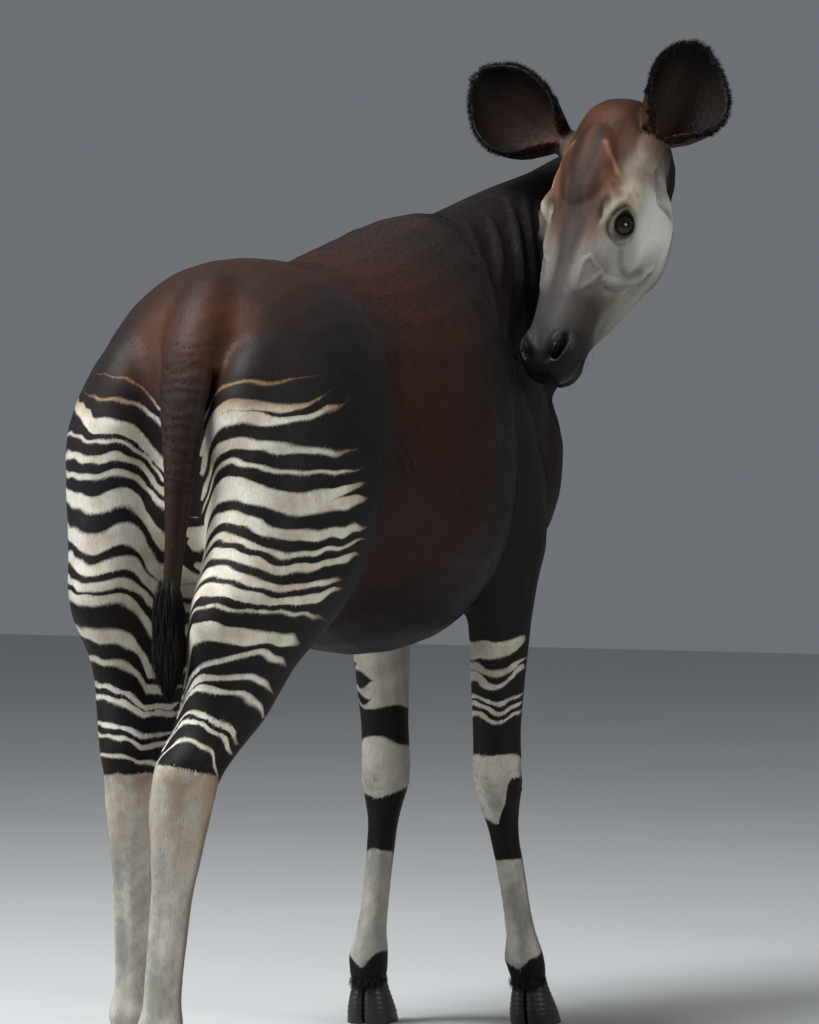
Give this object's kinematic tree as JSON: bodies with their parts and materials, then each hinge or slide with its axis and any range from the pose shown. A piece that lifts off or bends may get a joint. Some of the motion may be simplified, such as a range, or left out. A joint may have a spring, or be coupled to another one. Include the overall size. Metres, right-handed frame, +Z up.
{
  "type": "okapi",
  "caption": "Standing okapi cow, life size and still, looking back over her right shoulder, in named solids for trunk, neck, head, ears, eyes, legs, hooves and tail.",
  "frame": {"origin": "on the floor under the middle of the whole animal's bounding box", "axes": "+Z up, -Y the way the trunk faces, +X to the animal's left"},
  "size_m": [0.781, 1.6129, 1.7804],
  "materials": {
    "coat": "short velvety fur, dark chestnut",
    "face": "short velvety fur, pale grey",
    "stocking": "short velvety fur, cream",
    "ear": "short fur, dark chestnut",
    "tuft": "coarse black hair",
    "eye": "wet, near black",
    "hoof": "dull dark horn"
  },
  "bodies": {
    "root": {"torso": "coat", "neck_base": "coat", "neck_upper": "coat", "head": "face", "ear_left": "ear", "ear_right": "ear", "eye_left": "eye", "eye_right": "eye", "fore_left_leg": "coat", "fore_left_shank": "stocking", "fore_right_leg": "coat", "fore_right_shank": "stocking", "hind_left_leg": "coat", "hind_left_shank": "stocking", "hind_right_leg": "coat", "hind_right_shank": "stocking", "hoof_fore_left_inner": "hoof", "hoof_fore_left_outer": "hoof", "hoof_fore_right_inner": "hoof", "hoof_fore_right_outer": "hoof", "hoof_hind_left_inner": "hoof", "hoof_hind_left_outer": "hoof", "hoof_hind_right_inner": "hoof", "hoof_hind_right_outer": "hoof", "tail": "coat", "tail_tuft": "tuft"}
  },
  "joints": []
}
